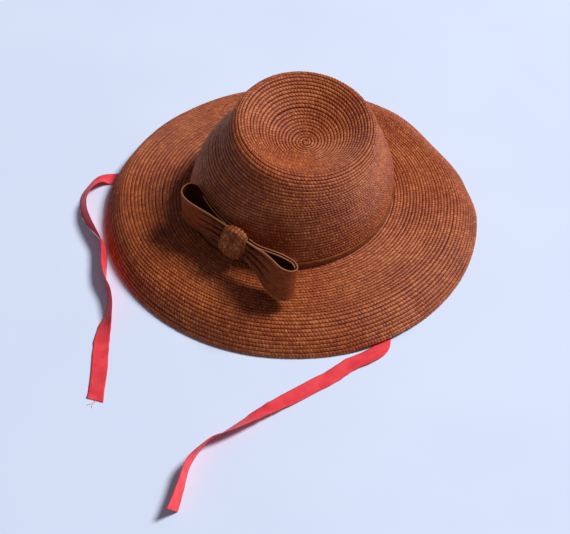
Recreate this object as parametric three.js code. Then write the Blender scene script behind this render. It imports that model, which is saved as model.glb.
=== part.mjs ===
// A sewn straw hat: a round crown with a dished tip, a wide brim turned down at its edge,
// a narrow band, a straw bow at the front and two satin ribbons that tie under the chin.
// Millimetres, +Z up, the brim's edge on z = 0, the bow towards -Y. The hat lies as worn,
// with both ribbons laid out loose on the surface that it rests on.
import * as THREE from 'three';

// Driving dimensions
const STRAW_WALL = 2.0;          // sewn rows of straw braid
const GAP = 0.35;                // room between pieces that are sewn to each other
const HALF_WIDTH = 91.5;         // crown's foot, from its middle to either side
const HALF_DEPTH = 94;           // crown's foot, from its middle to the front and the back
const SEAT = 28;                 // height of the crown's foot above the surface
const BRIM_RADIUS = 171.5;       // middle of the hat to the edge of the brim
const EDGE_FLAT = 2.4;           // level underside of the brim's last row
const BAND_HEIGHT = 7;
const BAND_WALL = 1.2;
const STRIP_WIDTH = 31;          // straw strip that the bow is folded from
const STRIP_WALL = 1.6;
const BOW_TOP = 68;              // height of the bow's upper edges
const KNOT_LEFT = 8.5;           // where the knot's sides lie, from the middle of the hat
const KNOT_RIGHT = 31.5;
const KNOT_MIDDLE = -94.6;       // how far forward the knot's upper end lies
const KNOT_FOOT = 5;             // how much further forward its lower end lies
const KNOT_DEPTH = 12.4;
const RIBBON_WIDTH = 14;
const RIBBON_WALL = 0.8;

// Lesser sizes
const RISE_DIRECTION = 168;      // direction in degrees in which the crown's rim is highest
const CREASE_REACH = 55;         // the crown's foot to the brim's crease
const EDGE_REACH = 24;           // the crease to the edge, across
const EDGE_DROP = 23;            // the crease to the edge, down
const LIFT_FLAT = 0.6;           // share of an edge lift's spread that stays at full height
const LIFT_END = 1.6;            // and where the lift ends
const DOWN_PER_MM = 0.0066;      // share of the crown's length for each mm at its foot
const GATHERED_WIDTH = 0.8;      // the bow strip's width at the knot, beside its full width
const GATHER_REACH = 0.28;       // share of a loop's length over which it is gathered
const KNOT_END = 0.14;           // how far the knot's ends are cut back from a full puff
const KNOT_SQUARE = 0.75;        // below 1 the knot's section is squarer than round
const KNOT_PROUD = 1;            // how far the knot stands over the strip's edges
const RIBBON_REST = 0.1;         // room under a ribbon that lies on the surface
const LINE_STEP = 0.004;         // share of a line's length over which its direction is taken

// Steps of the facets
const CROWN_AROUND = 56;
const CROWN_OUTER_ROWS = 23;
const CROWN_INNER_ROWS = 14;
const BRIM_AROUND = 84;
const BRIM_ROWS = 10;
const LOOP_STEPS = 40;
const KNOT_AROUND = 20;
const KNOT_STEPS = 8;
const RIBBON_STEPS = 60;

// Crown: one row for each level section, from the middle of the tip down to the foot.
// share is its size beside the foot's oval, height is above the foot, right and back are
// where its middle lies, and rise is how much higher it is in the rise's direction.
const CROWN_SECTIONS = [
  { share: 0.000, height: 70, right: 15.1, back: 3.4, rise: 0 },
  { share: 0.122, height: 70.6, right: 14.2, back: 3.8, rise: 1.2 },
  { share: 0.286, height: 74, right: 12.7, back: 5.2, rise: 3.4 },
  { share: 0.430, height: 79.6, right: 11.2, back: 7, rise: 6.2 },
  { share: 0.538, height: 84.8, right: 10.2, back: 7.7, rise: 8.3 },
  { share: 0.618, height: 87.3, right: 9.8, back: 8, rise: 9.4 },
  { share: 0.678, height: 84.7, right: 10.8, back: 6.5, rise: 8.8 },
  { share: 0.724, height: 77.5, right: 11.5, back: 4.5, rise: 7.3 },
  { share: 0.770, height: 67.8, right: 11, back: 2.2, rise: 5.1 },
  { share: 0.846, height: 58, right: 7.3, back: 2.2, rise: 2.3 },
  { share: 0.897, height: 47.9, right: 4.7, back: 1.8, rise: 0.5 },
  { share: 0.940, height: 38, right: 3.5, back: 2.2, rise: 0 },
  { share: 0.970, height: 28, right: 2.5, back: 2, rise: 0 },
  { share: 0.990, height: 16, right: 1.5, back: 1, rise: 0 },
  { share: 1.000, height: 6, right: 0.5, back: 0.3, rise: 0 },
  { share: 1.000, height: 0, right: 0, back: 0, rise: 0 },
];

// Brim: one row for each step outwards. Up to the crease the way is shared out between the
// crown's foot and the crease, and past it between the crease and the edge.
const BRIM_SECTIONS = [
  { inner: 0.00, outer: 0.00, fall: 0.00, turn: 0.00 },
  { inner: 0.25, outer: 0.00, fall: 0.15, turn: 0.00 },
  { inner: 0.50, outer: 0.00, fall: 0.35, turn: 0.00 },
  { inner: 0.75, outer: 0.00, fall: 0.65, turn: 0.00 },
  { inner: 1.00, outer: 0.00, fall: 1.00, turn: 0.00 },
  { inner: 1.00, outer: 0.35, fall: 1.00, turn: 0.18 },
  { inner: 1.00, outer: 0.65, fall: 1.00, turn: 0.48 },
  { inner: 1.00, outer: 0.88, fall: 1.00, turn: 0.80 },
  { inner: 1.00, outer: 1.00, fall: 1.00, turn: 1.00 },
];
// The crease by direction: its radius, and how far it lies below the crown's foot. The
// edge is turned down wider at the front, and the brim droops more at the back.
const CREASE = [
  { degrees: -90, radius: 145, fall: 5 },
  { degrees: -30, radius: 144, fall: 5 },
  { degrees: 30, radius: 146, fall: 8 },
  { degrees: 70, radius: 146, fall: 10 },
  { degrees: 110, radius: 147, fall: 10 },
  { degrees: 150, radius: 150, fall: 10 },
  { degrees: 200, radius: 156, fall: 6.5 },
  { degrees: 240, radius: 151, fall: 5 },
];
// The edge by direction: beside the brim's radius it is a little out of round.
const EDGE = [
  { degrees: -90, out: -0.8 },
  { degrees: -55, out: 0 },
  { degrees: -24, out: 2.5 },
  { degrees: 0, out: 1.5 },
  { degrees: 38, out: 1.2 },
  { degrees: 52, out: -3 },
  { degrees: 72, out: -7 },
  { degrees: 95, out: 0 },
  { degrees: 150, out: 1.5 },
  { degrees: 170, out: -0.5 },
  { degrees: 195, out: -3 },
  { degrees: 228, out: -0.5 },
];
// The edge is lifted where a ribbon passes under it.
const EDGE_LIFTS = [
  { degrees: -154, lift: 2.6, spread: 9 },
  { degrees: -22, lift: 2.6, spread: 9 },
];

// Bow: plan of each loop's upper edge from the knot out, round its end and back to the
// knot. foot is how much further forward the lower edge lies.
const LEFT_LOOP = [
  { x: 8, y: -93.5, foot: 4.5 },
  { x: -2, y: -93.7, foot: 3.6 },
  { x: -13, y: -94.5, foot: 1.9 },
  { x: -25, y: -95.8, foot: -0.5 },
  { x: -38, y: -95.5, foot: -0.8 },
  { x: -48, y: -91.5, foot: 0.5 },
  { x: -51.5, y: -84.5, foot: 4 },
  { x: -50, y: -78, foot: 7 },
  { x: -44, y: -75.5, foot: 9 },
  { x: -34, y: -78.3, foot: 10 },
  { x: -22, y: -83.4, foot: 9 },
  { x: -8, y: -87.5, foot: 7 },
  { x: 8, y: -90.3, foot: 4.7 },
];
const RIGHT_LOOP = [
  { x: 32, y: -93.5, foot: 4 },
  { x: 44, y: -94.5, foot: 4 },
  { x: 57, y: -93, foot: 4 },
  { x: 70, y: -91, foot: 4 },
  { x: 81, y: -91, foot: 5 },
  { x: 87.5, y: -95.5, foot: 6 },
  { x: 85.5, y: -101, foot: 8 },
  { x: 77, y: -103.5, foot: 8.5 },
  { x: 66, y: -101.5, foot: 8.5 },
  { x: 55, y: -99, foot: 7.5 },
  { x: 44, y: -97.5, foot: 5.5 },
  { x: 32, y: -96.5, foot: 3.5 },
];

// Ribbons: the middle line from the seam inside the crown to the cut end. turn is the
// angle that the width stands up from the surface in degrees, and lift is the room
// under the lower edge.
const LEFT_RIBBON = [
  { x: -84.8, y: -21.8, lift: 34, turn: 0 },
  { x: -85.6, y: -22, lift: 21, turn: 0 },
  { x: -89.3, y: -23.1, lift: 8, turn: 0 },
  { x: -98, y: -27.5, lift: 0.5, turn: 0 },
  { x: -113, y: -38, lift: 0.1, turn: 0 },
  { x: -134, y: -56, lift: 0.1, turn: 0 },
  { x: -155.8, y: -71.9, lift: 0.1, turn: 0 },
  { x: -163.5, y: -80.3, lift: 0.1, turn: 12 },
  { x: -164, y: -91.3, lift: 0.1, turn: 36 },
  { x: -161.1, y: -104.7, lift: 0.1, turn: 46 },
  { x: -153.1, y: -116.5, lift: 0.1, turn: 60 },
  { x: -141.2, y: -126.3, lift: 0.1, turn: 70 },
  { x: -128, y: -132.3, lift: 0.1, turn: 84 },
  { x: -115.2, y: -136.7, lift: 0.1, turn: 98 },
  { x: -104.1, y: -140.9, lift: 0.1, turn: 107 },
  { x: -90.9, y: -152.3, lift: 0.1, turn: 107 },
  { x: -80, y: -163.8, lift: 0.1, turn: 104 },
  { x: -68.9, y: -173.4, lift: 0.1, turn: 92 },
  { x: -56.8, y: -181.5, lift: 0.1, turn: 76 },
  { x: -50, y: -187.6, lift: 0.1, turn: 68 },
  { x: -42.7, y: -195.8, lift: 0.1, turn: 58 },
  { x: -35.2, y: -207.9, lift: 0.1, turn: 33 },
  { x: -25.3, y: -222.6, lift: 0.1, turn: 6 },
  { x: -12.9, y: -237.1, lift: 0.1, turn: 0 },
  { x: -0.9, y: -250.8, lift: 0.1, turn: 10 },
  { x: 14.1, y: -270.3, lift: 0.1, turn: 0 },
];
const RIGHT_RIBBON = [
  { x: 85.7, y: -18.2, lift: 34, turn: 0 },
  { x: 86.5, y: -18.4, lift: 21, turn: 0 },
  { x: 90.2, y: -19.3, lift: 8, turn: 0 },
  { x: 99, y: -22.5, lift: 0.5, turn: 0 },
  { x: 113, y: -31, lift: 0.1, turn: 0 },
  { x: 135, y: -46, lift: 0.1, turn: 0 },
  { x: 154, y: -60, lift: 0.1, turn: 0 },
  { x: 163, y: -74, lift: 0.1, turn: 6 },
  { x: 160, y: -88.5, lift: 0.1, turn: 6 },
  { x: 153.6, y: -104.5, lift: 0.1, turn: 3 },
  { x: 149.7, y: -123.9, lift: 0.1, turn: 0 },
  { x: 142.9, y: -146.3, lift: 0.1, turn: 0 },
  { x: 136.4, y: -168, lift: 0.1, turn: 6 },
  { x: 130.4, y: -190.1, lift: 0.1, turn: 21 },
  { x: 125.6, y: -213.3, lift: 0.1, turn: 42 },
  { x: 121.9, y: -226.7, lift: 0.1, turn: 54 },
  { x: 117.8, y: -239.6, lift: 0.1, turn: 67 },
  { x: 117.4, y: -256.1, lift: 0.1, turn: 80 },
  { x: 119.7, y: -270.6, lift: 0.1, turn: 96 },
  { x: 128.3, y: -287.5, lift: 0.1, turn: 105 },
  { x: 136.6, y: -303.5, lift: 0.1, turn: 111 },
  { x: 139.8, y: -311, lift: 0.1, turn: 112 },
];

const material = (color, roughness) => new THREE.MeshStandardMaterial({ color, roughness, metalness: 0 });
const straw = material(0x9a6236, 0.55);
const strawShade = material(0x7f4c2b, 0.5);
const strawEdge = material(0xa9764a, 0.45);
const satin = material(0xe8454e, 0.35);

const hat = new THREE.Group();
hat.name = 'straw_hat';

function addPiece(name, geometry, finish) {
  const mesh = new THREE.Mesh(geometry, finish);
  mesh.name = name;
  hat.add(mesh);
}

// A smooth function through a table's rows: fraction 0 is the first row and 1 the last,
// spread by the distance between rows in the columns that spacing names.
function smoothTable(rows, columns, spacing) {
  const places = [0];
  for (let i = 1; i < rows.length; i++) {
    const step = Math.hypot(...spacing(rows[i], rows[i - 1]));
    places.push(places[i - 1] + step);
  }
  const length = places[places.length - 1];
  const values = rows.flatMap((row) => columns.map((column) => row[column]));
  const curve = new THREE.CubicInterpolant(
    places.map((place) => place / length), values, columns.length);
  return (fraction) => {
    const found = curve.evaluate(THREE.MathUtils.clamp(fraction, 0, 1));
    return Object.fromEntries(columns.map((column, i) => [column, found[i]]));
  };
}

// Distance from the middle of the foot's oval to its rim in a direction
function footRadius(angle) {
  return 1 / Math.hypot(Math.cos(angle) / HALF_WIDTH, Math.sin(angle) / HALF_DEPTH);
}

const crownSection = smoothTable(
  CROWN_SECTIONS,
  ['share', 'height', 'right', 'back', 'rise'],
  (a, b) => [(a.share - b.share) * HALF_DEPTH, a.height - b.height]);

// Outer face of the crown: down is 0 at the middle of the tip and 1 at the foot.
function crownSurface(angle, down) {
  const section = crownSection(down);
  const rise = THREE.MathUtils.degToRad(RISE_DIRECTION);
  const radius = footRadius(angle) * Math.max(section.share, 0);
  return new THREE.Vector3(
    section.right + radius * Math.cos(angle),
    section.back + radius * Math.sin(angle),
    SEAT + section.height + section.rise * Math.cos(angle - rise));
}

// Angle between two directions in degrees, from -180 to 180
function apart(a, b) {
  return THREE.MathUtils.euclideanModulo(a - b + 180, 360) - 180;
}

// A table's row for any direction, eased between the rows on either side
function byDirection(rows, angle) {
  const first = rows[0];
  const turn = THREE.MathUtils.radToDeg(angle) - first.degrees;
  const degrees = THREE.MathUtils.euclideanModulo(turn, 360) + first.degrees;
  const closed = [...rows, { ...first, degrees: first.degrees + 360 }];
  const next = closed.findIndex((row) => row.degrees > degrees);
  const [before, after] = [closed[next - 1], closed[next]];
  const share = THREE.MathUtils.smoothstep(degrees, before.degrees, after.degrees);
  return Object.fromEntries(Object.keys(first).map(
    (column) => [column, THREE.MathUtils.lerp(before[column], after[column], share)]));
}

function edgeHeight(angle) {
  const degrees = THREE.MathUtils.radToDeg(angle);
  return EDGE_LIFTS.reduce((height, row) => {
    const off = Math.abs(apart(degrees, row.degrees)) / row.spread;
    return height + row.lift * (1 - THREE.MathUtils.smoothstep(off, LIFT_FLAT, LIFT_END));
  }, 0);
}

function edgeRadius(angle) {
  return BRIM_RADIUS + byDirection(EDGE, angle).out;
}

const brimSection = smoothTable(
  BRIM_SECTIONS,
  ['inner', 'outer', 'fall', 'turn'],
  (a, b) => [
    (a.inner - b.inner) * CREASE_REACH,
    (a.outer - b.outer) * EDGE_REACH,
    (a.turn - b.turn) * EDGE_DROP,
  ]);

// Upper face of the brim: out is 0 under the crown's foot and 1 at the edge.
function brimSurface(angle, out) {
  const section = brimSection(out);
  const crease = byDirection(CREASE, angle);
  const start = footRadius(angle) - STRAW_WALL;
  const turned = (edgeRadius(angle) - crease.radius) * section.outer;
  const radius = THREE.MathUtils.lerp(start, crease.radius, section.inner) + turned;
  const creaseHeight = SEAT - GAP - crease.fall * section.fall;
  const edge = edgeHeight(angle) + STRAW_WALL;
  return new THREE.Vector3(
    radius * Math.cos(angle),
    radius * Math.sin(angle),
    THREE.MathUtils.lerp(creaseHeight, edge, section.turn));
}

// Outward direction of a surface at (across, along), by small steps each way
function surfaceNormal(surface, across, along) {
  const step = 1e-3;
  const low = Math.max(along - step, 0);
  const high = Math.min(along + step, 1);
  const sideways = surface(across + step, along).sub(surface(across - step, along));
  const lengthwise = surface(across, high).sub(surface(across, low));
  return lengthwise.cross(sideways).normalize();
}

// A closed body from a grid of points given ring by ring. Each ring is closed on itself.
// closedRings joins the last ring to the first, and otherwise each end is one point or a cap.
function bodyFromRings(rings, closedRings) {
  const positions = [];
  const starts = rings.map((ring) => {
    const start = positions.length / 3;
    ring.forEach((point) => positions.push(point.x, point.y, point.z));
    return start;
  });
  const index = [];
  const pairs = closedRings ? rings.length : rings.length - 1;
  for (let r = 0; r < pairs; r++) {
    const next = (r + 1) % rings.length;
    const count = Math.max(rings[r].length, rings[next].length);
    for (let i = 0; i < count; i++) {
      const j = (i + 1) % count;
      const a = starts[r] + i % rings[r].length;
      const b = starts[r] + j % rings[r].length;
      const c = starts[next] + j % rings[next].length;
      const d = starts[next] + i % rings[next].length;
      if (a !== b) index.push(a, b, c);
      if (c !== d) index.push(a, c, d);
    }
  }
  const geometry = new THREE.BufferGeometry();
  geometry.setAttribute('position', new THREE.Float32BufferAttribute(positions, 3));
  geometry.setIndex(index);
  geometry.computeVertexNormals();
  return geometry;
}

// A flat cap's fan is avoided by ending a strip's rings in one point at each end.
function capEnds(rings) {
  const middle = (ring) => {
    const sum = ring.reduce((total, point) => total.add(point), new THREE.Vector3());
    return sum.divideScalar(ring.length);
  };
  return [[middle(rings[0])], ...rings, [middle(rings[rings.length - 1])]];
}

function ringAt(surface, steps, along, depth) {
  return Array.from({ length: steps }, (_, i) => {
    const angle = (2 * Math.PI * i) / steps;
    const point = surface(angle, along);
    return depth ? point.addScaledVector(surfaceNormal(surface, angle, along), -depth) : point;
  });
}

// The crown is one wall, open underneath.
function crownGeometry() {
  const outer = [[crownSurface(0, 0)]];
  for (let i = 1; i <= CROWN_OUTER_ROWS; i++) {
    outer.push(ringAt(crownSurface, CROWN_AROUND, i / CROWN_OUTER_ROWS, 0));
  }
  const inner = [];
  const foot = outer[outer.length - 1];
  const footInside = ringAt(crownSurface, CROWN_AROUND, 1, STRAW_WALL);
  footInside.forEach((point, i) => { point.z = foot[i].z; });
  inner.push(footInside);
  for (let i = CROWN_INNER_ROWS - 1; i >= 1; i--) {
    inner.push(ringAt(crownSurface, CROWN_AROUND, i / CROWN_INNER_ROWS, STRAW_WALL));
  }
  const tip = crownSurface(0, 0);
  tip.z -= STRAW_WALL;
  inner.push([tip]);
  return bodyFromRings([...outer, ...inner].reverse(), false);
}

// The brim is one wall, with the head opening through its middle and a level lower edge.
function brimGeometry() {
  const upper = [];
  const lower = [];
  for (let i = 0; i <= BRIM_ROWS; i++) {
    upper.push(ringAt(brimSurface, BRIM_AROUND, i / BRIM_ROWS, 0));
    lower.unshift(ringAt(brimSurface, BRIM_AROUND, i / BRIM_ROWS, STRAW_WALL));
  }
  const levelRing = (inset) => upper[BRIM_ROWS].map((edge) => {
    const share = 1 - inset / BRIM_RADIUS;
    return new THREE.Vector3(edge.x * share, edge.y * share, edge.z - STRAW_WALL);
  });
  lower.splice(0, 1, levelRing(0), levelRing(EDGE_FLAT));
  return bodyFromRings([...upper, ...lower].reverse(), true);
}

// A narrow flat strip round the crown's foot
function bandGeometry() {
  const face = (height, offset) => Array.from({ length: CROWN_AROUND }, (_, i) => {
    const angle = (2 * Math.PI * i) / CROWN_AROUND;
    const down = 1 - height * DOWN_PER_MM;
    const point = crownSurface(angle, down);
    const normal = surfaceNormal(crownSurface, angle, down);
    point.addScaledVector(normal, offset);
    point.z = SEAT + height;
    return point;
  });
  const inside = GAP;
  const outside = GAP + BAND_WALL;
  const top = GAP + BAND_HEIGHT;
  return bodyFromRings([
    face(GAP, inside),
    face(GAP, outside),
    face(top / 2, outside),
    face(top, outside),
    face(top, inside),
    face(top / 2, inside),
  ], true);
}

// One loop of the bow: the strip stands on its edge along the plan line.
function loopGeometry(rows) {
  const line = smoothTable(rows, ['x', 'y', 'foot'], (a, b) => [a.x - b.x, a.y - b.y]);
  const levels = [0, 0.5, 1];
  const rings = Array.from({ length: LOOP_STEPS + 1 }, (_, i) => {
    const along = i / LOOP_STEPS;
    const here = line(along);
    const before = line(along - LINE_STEP);
    const after = line(along + LINE_STEP);
    const across = new THREE.Vector2(before.y - after.y, after.x - before.x).normalize();
    const gathered = THREE.MathUtils.smoothstep(Math.min(along, 1 - along), 0, GATHER_REACH);
    const width = STRIP_WIDTH * THREE.MathUtils.lerp(GATHERED_WIDTH, 1, gathered);
    const top = BOW_TOP - (STRIP_WIDTH - width) / 2;
    const point = (level, side) => new THREE.Vector3(
      here.x + across.x * side * STRIP_WALL / 2,
      here.y + across.y * side * STRIP_WALL / 2 - here.foot * level,
      top - width * level);
    return [
      ...levels.map((level) => point(level, -1)),
      ...levels.toReversed().map((level) => point(level, 1)),
    ];
  });
  return bodyFromRings(capEnds(rings), false);
}

// The knot: a puffed wrap round the bow's waist, squarer than round
function knotGeometry() {
  const rings = [];
  for (let i = 0; i <= KNOT_STEPS; i++) {
    const along = i / KNOT_STEPS;
    const puff = Math.sin(Math.PI * THREE.MathUtils.lerp(KNOT_END, 1 - KNOT_END, along));
    rings.push(Array.from({ length: KNOT_AROUND }, (_, k) => {
      const angle = (2 * Math.PI * k) / KNOT_AROUND;
      const soft = (value) => Math.sign(value) * Math.abs(value) ** KNOT_SQUARE;
      const up = soft(Math.cos(angle)) * Math.sqrt(puff);
      const forward = soft(Math.sin(angle)) * puff * KNOT_DEPTH / 2 + KNOT_FOOT * (1 - up) / 2;
      return new THREE.Vector3(
        THREE.MathUtils.lerp(KNOT_LEFT, KNOT_RIGHT, along),
        KNOT_MIDDLE - forward,
        BOW_TOP - STRIP_WIDTH / 2 + up * (STRIP_WIDTH / 2 + KNOT_PROUD));
    }));
  }
  return bodyFromRings(capEnds(rings), false);
}

// A ribbon: a flat section carried along its line and turned as the table says
function ribbonGeometry(rows) {
  const line = smoothTable(
    rows,
    ['x', 'y', 'lift', 'turn'],
    (a, b) => [a.x - b.x, a.y - b.y, a.lift - b.lift]);
  const middleAt = (along) => {
    const { x, y, lift, turn } = line(along);
    const raised = Math.abs(Math.sin(THREE.MathUtils.degToRad(turn))) * RIBBON_WIDTH / 2;
    return new THREE.Vector3(x, y, Math.max(lift, RIBBON_REST) + raised + RIBBON_WALL / 2);
  };
  const rings = Array.from({ length: RIBBON_STEPS + 1 }, (_, i) => {
    const along = i / RIBBON_STEPS;
    const middle = middleAt(along);
    const before = middleAt(along - LINE_STEP);
    const ahead = middleAt(along + LINE_STEP).sub(before).normalize();
    const level = new THREE.Vector3(-ahead.y, ahead.x, 0).normalize();
    const turn = THREE.MathUtils.degToRad(line(along).turn);
    const width = level.clone().multiplyScalar(Math.cos(turn));
    width.add(new THREE.Vector3(0, 0, Math.sin(turn)));
    const face = new THREE.Vector3().crossVectors(ahead, width).normalize();
    return [[1, 1], [0, 1], [-1, 1], [-1, -1], [0, -1], [1, -1]].map(([side, up]) => middle.clone()
      .addScaledVector(width, side * RIBBON_WIDTH / 2)
      .addScaledVector(face, up * RIBBON_WALL / 2));
  });
  return bodyFromRings(capEnds(rings), false);
}

addPiece('crown', crownGeometry(), straw);
addPiece('brim', brimGeometry(), straw);
addPiece('crown_band', bandGeometry(), strawEdge);
addPiece('bow_loop_left', loopGeometry(LEFT_LOOP), strawShade);
addPiece('bow_loop_right', loopGeometry(RIGHT_LOOP), strawShade);
addPiece('bow_knot', knotGeometry(), strawEdge);
addPiece('ribbon_left', ribbonGeometry(LEFT_RIBBON), satin);
addPiece('ribbon_right', ribbonGeometry(RIGHT_RIBBON), satin);

export default hat;
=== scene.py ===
"""A sewn straw hat with a straw bow and two satin ties, as a Blender add-on.

The crown and the brim are each one plaited straw strip sewn round and round. All pieces
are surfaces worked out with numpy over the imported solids. Tables are in millimetres and
degrees, and meshes in metres.
"""

import bmesh
import bpy
import numpy as np
from bpy.props import FloatProperty, FloatVectorProperty, IntProperty, PointerProperty
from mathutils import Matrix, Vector


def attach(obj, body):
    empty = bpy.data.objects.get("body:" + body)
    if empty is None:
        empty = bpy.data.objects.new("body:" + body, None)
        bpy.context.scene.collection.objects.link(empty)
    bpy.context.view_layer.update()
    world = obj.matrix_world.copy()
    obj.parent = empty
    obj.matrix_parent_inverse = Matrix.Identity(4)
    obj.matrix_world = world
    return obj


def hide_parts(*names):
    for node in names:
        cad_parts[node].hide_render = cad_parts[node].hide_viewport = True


bl_info = {
    "name": "Straw Hat",
    "version": (1, 0, 0),
    "blender": (4, 5, 0),
    "location": "View3D > Sidebar > Straw Hat",
    "description": "Builds a sewn straw hat with a bow and two satin ties",
    "category": "Object",
}

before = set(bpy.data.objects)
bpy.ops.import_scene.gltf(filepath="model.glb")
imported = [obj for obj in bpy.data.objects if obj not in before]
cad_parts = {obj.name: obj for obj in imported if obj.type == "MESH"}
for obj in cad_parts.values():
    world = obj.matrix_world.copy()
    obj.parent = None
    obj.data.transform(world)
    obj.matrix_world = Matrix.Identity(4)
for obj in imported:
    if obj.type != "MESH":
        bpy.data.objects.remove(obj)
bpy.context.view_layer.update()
BODY = "root"

# Sizes shared with the solids, in millimetres, with RISE_DIRECTION in degrees and
# LIFT_FADE and KNOT_END as shares
STRAW_WALL = 2.0
GAP = 0.35
HALF_WIDTH = 91.5
HALF_DEPTH = 94.0
SEAT = 28.0
BRIM_RADIUS = 171.5
BAND_HEIGHT = 7.0
BAND_WALL = 1.2
STRIP_WIDTH = 31.0
STRIP_WALL = 1.6
BOW_TOP = 68.0
KNOT_LEFT = 8.5
KNOT_RIGHT = 31.5
KNOT_MIDDLE = -94.6
KNOT_FOOT = 5.0
KNOT_DEPTH = 12.4
RIBBON_WIDTH = 14.0
RISE_DIRECTION = 168.0
CREASE_REACH = 55
EDGE_REACH = 24
EDGE_DROP = 23
LIFT_FADE = (0.6, 1.6)
KNOT_END = 0.14
KNOT_PROUD = 1

# The bow's own, which the solids have otherwise or not at all: the way round the knot's
# wrap, how far its foot lies to the left, the strip's width at the knot as a share, and
# the number and the depth of its pleats
KNOT_WRAP = 90.0
KNOT_LEAN = 7.0
GATHERED = 0.6
PLEATS = 3.5
PLEAT_DEPTH = 1.5

# Crown, level section by level section from the tip to the foot: its size beside the
# foot's oval, its height over the foot, how far its middle lies right and back, and how
# much higher it is in the rise's direction.
CROWN_SECTIONS = (
    (0.000, 70, 15.1, 3.4, 0),
    (0.122, 70.6, 14.2, 3.8, 1.2),
    (0.286, 74, 12.7, 5.2, 3.4),
    (0.430, 79.6, 11.2, 7, 6.2),
    (0.538, 84.8, 10.2, 7.7, 8.3),
    (0.618, 87.3, 9.8, 8, 9.4),
    (0.678, 84.7, 10.8, 6.5, 8.8),
    (0.724, 77.5, 11.5, 4.5, 7.3),
    (0.770, 67.8, 11, 2.2, 5.1),
    (0.846, 58, 7.3, 2.2, 2.3),
    (0.897, 47.9, 4.7, 1.8, 0.5),
    (0.940, 38, 3.5, 2.2, 0),
    (0.970, 28, 2.5, 2, 0),
    (0.990, 16, 1.5, 1, 0),
    (1.000, 6, 0.5, 0.3, 0),
    (1.000, 0, 0, 0, 0),
)
# Brim, step by step outwards: share of the way to the crease, share of the way from the
# crease to the edge, share of the crease's fall, and share of the turn down to the edge.
BRIM_SECTIONS = (
    (0.00, 0.00, 0.00, 0.00),
    (0.25, 0.00, 0.15, 0.00),
    (0.50, 0.00, 0.35, 0.00),
    (0.75, 0.00, 0.65, 0.00),
    (1.00, 0.00, 1.00, 0.00),
    (1.00, 0.35, 1.00, 0.18),
    (1.00, 0.65, 1.00, 0.48),
    (1.00, 0.88, 1.00, 0.80),
    (1.00, 1.00, 1.00, 1.00),
)
# Direction, the crease's radius there and how far it lies below the crown's foot
CREASE = (
    (-90, 145, 5),
    (-30, 144, 5),
    (30, 146, 8),
    (70, 146, 10),
    (110, 147, 10),
    (150, 150, 10),
    (200, 156, 6.5),
    (240, 151, 5),
)
# Direction, and how far the edge lies outside the brim's radius
EDGE = (
    (-90, -0.8), (-55, 0), (-24, 2.5), (0, 1.5), (38, 1.2), (52, -3), (72, -7), (95, 0),
    (150, 1.5), (170, -0.5), (195, -3), (228, -0.5),
)
# Direction, lift and half spread of the places where a ribbon passes under the edge
EDGE_LIFTS = ((-154, 2.6, 9), (-22, 2.6, 9))
# How far past 1 the way along the brim goes on, straight down its edge
EDGE_SHARE = 0.02

# Bow loops: plan of the upper edge, and how far forward the lower edge lies
LEFT_LOOP = (
    (8, -93.5, 4.5),
    (-2, -93.7, 3.6),
    (-13, -94.5, 1.9),
    (-25, -95.8, -0.5),
    (-38, -95.5, -0.8),
    (-48, -91.5, 0.5),
    (-51.5, -84.5, 4),
    (-50, -78, 7),
    (-44, -75.5, 9),
    (-34, -78.3, 10),
    (-22, -83.4, 9),
    (-8, -87.5, 7),
    (8, -90.3, 4.7),
)
RIGHT_LOOP = (
    (32, -93.5, 4),
    (44, -94.5, 4),
    (57, -93, 4),
    (70, -91, 4),
    (81, -91, 5),
    (87.5, -95.5, 6),
    (85.5, -101, 8),
    (77, -103.5, 8.5),
    (66, -101.5, 8.5),
    (55, -99, 7.5),
    (44, -97.5, 5.5),
    (32, -96.5, 3.5),
)

# Ribbons: middle line, room under the lower edge, and how far the width stands up
LEFT_RIBBON = (
    (-84.8, -21.8, 34, 0),
    (-85.6, -22, 21, 0),
    (-89.3, -23.1, 8, 0),
    (-98, -27.5, 0.5, 0),
    (-113, -38, 0.1, 0),
    (-134, -56, 0.1, 0),
    (-155.8, -71.9, 0.1, 0),
    (-163.5, -80.3, 0.1, 12),
    (-164, -91.3, 0.1, 36),
    (-161.1, -104.7, 0.1, 46),
    (-153.1, -116.5, 0.1, 60),
    (-141.2, -126.3, 0.1, 70),
    (-128, -132.3, 0.1, 84),
    (-115.2, -136.7, 0.1, 98),
    (-104.1, -140.9, 0.1, 107),
    (-90.9, -152.3, 0.1, 107),
    (-80, -163.8, 0.1, 104),
    (-68.9, -173.4, 0.1, 92),
    (-56.8, -181.5, 0.1, 76),
    (-50, -187.6, 0.1, 68),
    (-42.7, -195.8, 0.1, 58),
    (-35.2, -207.9, 0.1, 33),
    (-25.3, -222.6, 0.1, 6),
    (-12.9, -237.1, 0.1, 0),
    (-0.9, -250.8, 0.1, 10),
    (14.1, -270.3, 0.1, 0),
)
RIGHT_RIBBON = (
    (85.7, -18.2, 34, 0),
    (86.5, -18.4, 21, 0),
    (90.2, -19.3, 8, 0),
    (99, -22.5, 0.5, 0),
    (113, -31, 0.1, 0),
    (135, -46, 0.1, 0),
    (154, -60, 0.1, 0),
    (163, -74, 0.1, 6),
    (160, -88.5, 0.1, 6),
    (153.6, -104.5, 0.1, 3),
    (149.7, -123.9, 0.1, 0),
    (142.9, -146.3, 0.1, 0),
    (136.4, -168, 0.1, 6),
    (130.4, -190.1, 0.1, 21),
    (125.6, -213.3, 0.1, 42),
    (121.9, -226.7, 0.1, 54),
    (117.8, -239.6, 0.1, 67),
    (117.4, -256.1, 0.1, 80),
    (119.7, -270.6, 0.1, 96),
    (128.3, -287.5, 0.1, 105),
    (136.6, -303.5, 0.1, 111),
    (139.8, -311, 0.1, 112),
)

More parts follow.
